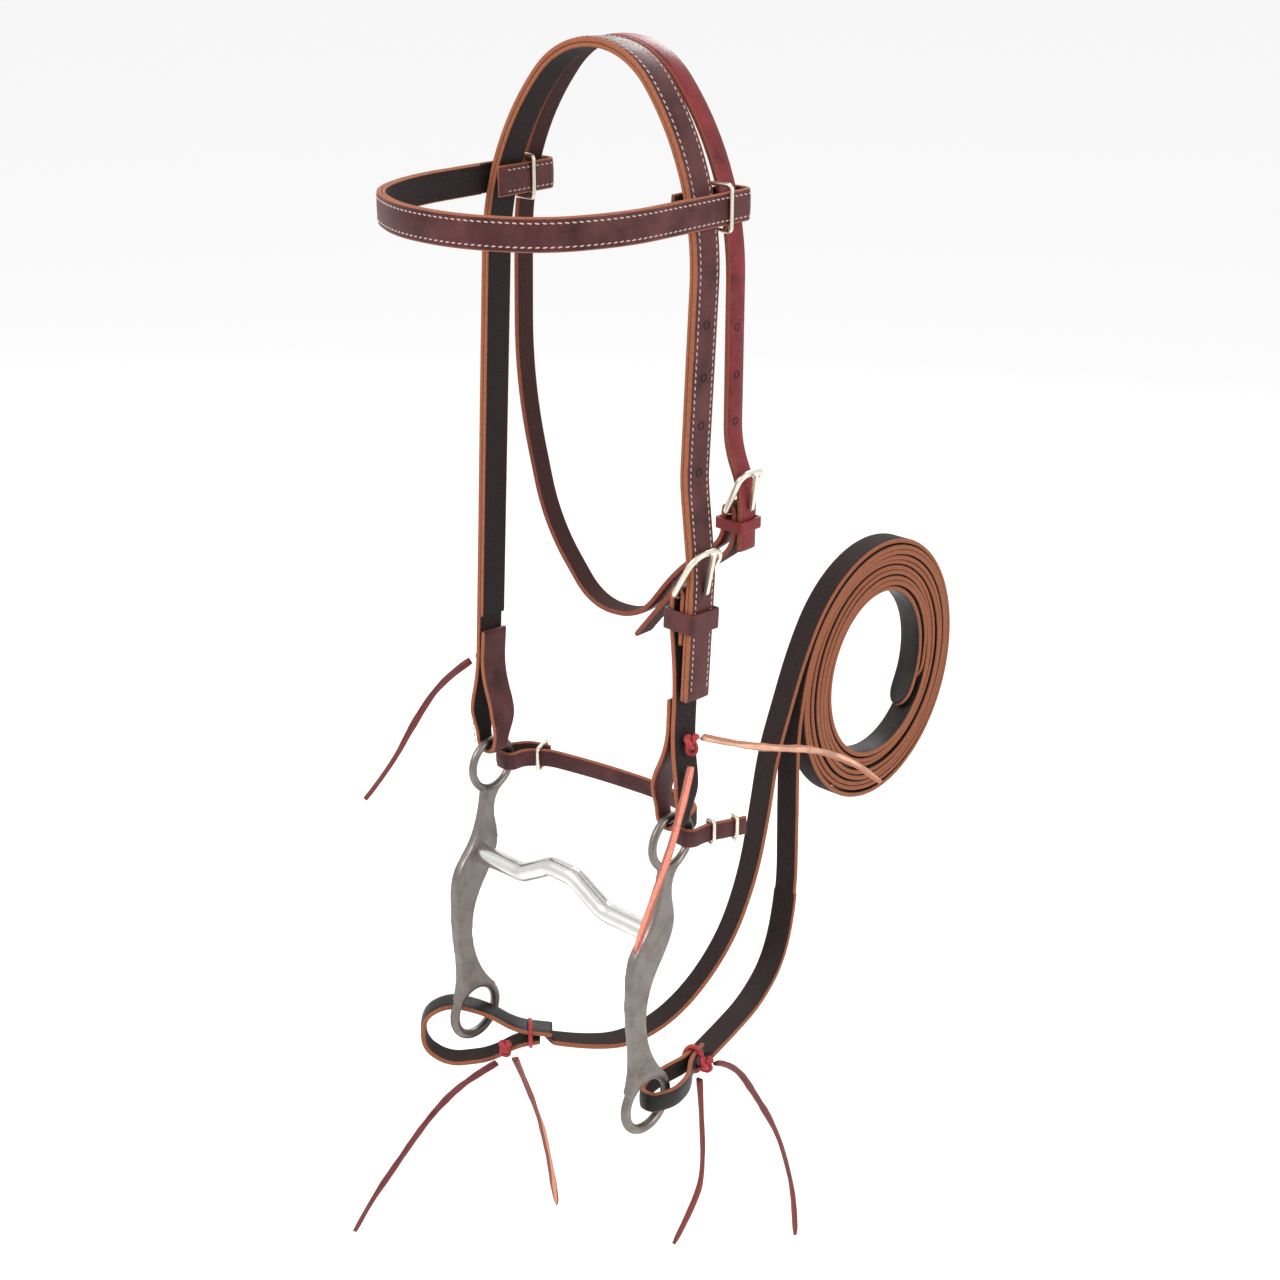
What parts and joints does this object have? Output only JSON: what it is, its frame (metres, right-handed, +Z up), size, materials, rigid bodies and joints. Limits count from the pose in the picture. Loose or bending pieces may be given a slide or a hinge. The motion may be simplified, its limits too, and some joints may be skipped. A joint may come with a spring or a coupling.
{
  "type": "western curb bridle",
  "caption": "Western browband headstall with a low-port curb bit, curb strap and split reins wound into a coil, for hanging up or fitting to a horse.",
  "frame": {"origin": "underside of the crown strap at the middle of the poll", "axes": "+Z up, -Y towards the horse's nose, +X towards the horse's near (left) side"},
  "size_m": [0.2274, 0.4372, 0.7606],
  "materials": {
    "burgundy_leather": "dark burgundy bridle leather, waxed grain face, tan cut edges",
    "dark_leather": "near black flesh side, slightly nappy",
    "red_leather": "red bridle leather, satin",
    "rein_leather": "black-brown harness leather with orange-brown edges",
    "thong_leather": "red latigo thong with a rough salmon flesh side",
    "dark_steel": "browned steel, brushed",
    "bright_steel": "polished",
    "nickel": "nickel plate with a warm tint"
  },
  "bodies": {
    "headstall": {"crown_strap": "burgundy_leather", "crown_lining": "dark_leather", "throat_strap": "red_leather", "near_cheek_piece": "burgundy_leather", "cheek_buckle_frame": "nickel", "throat_buckle_frame": "nickel", "far_cheek_knot": "thong_leather", "near_cheek_knot": "thong_leather", "far_cheek_tail": "thong_leather", "near_cheek_tail_down": "thong_leather", "near_cheek_tail_back": "thong_leather", "near_rein": "rein_leather", "far_rein": "rein_leather", "rein_coil": "rein_leather"},
    "brow": {"browband": "burgundy_leather", "browband_lining": "dark_leather", "near_browband_ring": "nickel", "far_browband_ring": "nickel"},
    "cheek_keeper_loop": {"cheek_keeper": "burgundy_leather"},
    "throat_keeper_loop": {"throat_keeper": "red_leather"},
    "cheek_tongue": {"cheek_buckle_tongue": "nickel"},
    "throat_tongue": {"throat_buckle_tongue": "nickel"},
    "bit": {"near_shank": "dark_steel", "far_shank": "dark_steel", "mouthpiece": "bright_steel", "near_rein_loop": "rein_leather", "far_rein_loop": "rein_leather", "near_rein_knot": "thong_leather", "far_rein_knot": "thong_leather", "far_rein_tail_back": "thong_leather", "far_rein_tail_front": "thong_leather", "near_rein_tail_back": "thong_leather", "near_rein_tail_front": "thong_leather"},
    "curb": {"curb_strap": "dark_leather", "far_curb_buckle": "nickel", "near_curb_buckle": "nickel", "near_curb_keeper": "nickel"}
  },
  "joints": [
    {"name": "bit_swing", "type": "hinge", "parent": "headstall", "child": "bit", "pos_m": [0, -0.0245, -0.403], "axis": [1, 0, 0], "range_deg": [-25, 30], "deforming": ["near_rein", "far_rein"]},
    {"name": "curb_swing", "type": "hinge", "parent": "headstall", "child": "curb", "pos_m": [0, -0.0245, -0.403], "axis": [1, 0, 0], "range_deg": [-20, 10]},
    {"name": "browband_slide", "type": "slide", "parent": "headstall", "child": "brow", "axis": [0, 0, 1], "range_m": [-0.002, 0.004]},
    {"name": "cheek_keeper_slide", "type": "slide", "parent": "headstall", "child": "cheek_keeper_loop", "axis": [0, 0.0607, 0.9982], "range_m": [-0.028, 0.003]},
    {"name": "throat_keeper_slide", "type": "slide", "parent": "headstall", "child": "throat_keeper_loop", "axis": [0, 0, 1], "range_m": [-0.001, 0.002]},
    {"name": "cheek_tongue_turn", "type": "hinge", "parent": "headstall", "child": "cheek_tongue", "pos_m": [0.0725, -0.0159, -0.26152], "axis": [0, 0.9982, -0.0607], "range_deg": [0, 8]},
    {"name": "throat_tongue_turn", "type": "hinge", "parent": "headstall", "child": "throat_tongue", "pos_m": [0.0766, 0.0159, -0.224], "axis": [0, 1, 0], "range_deg": [0, 8]}
  ]
}
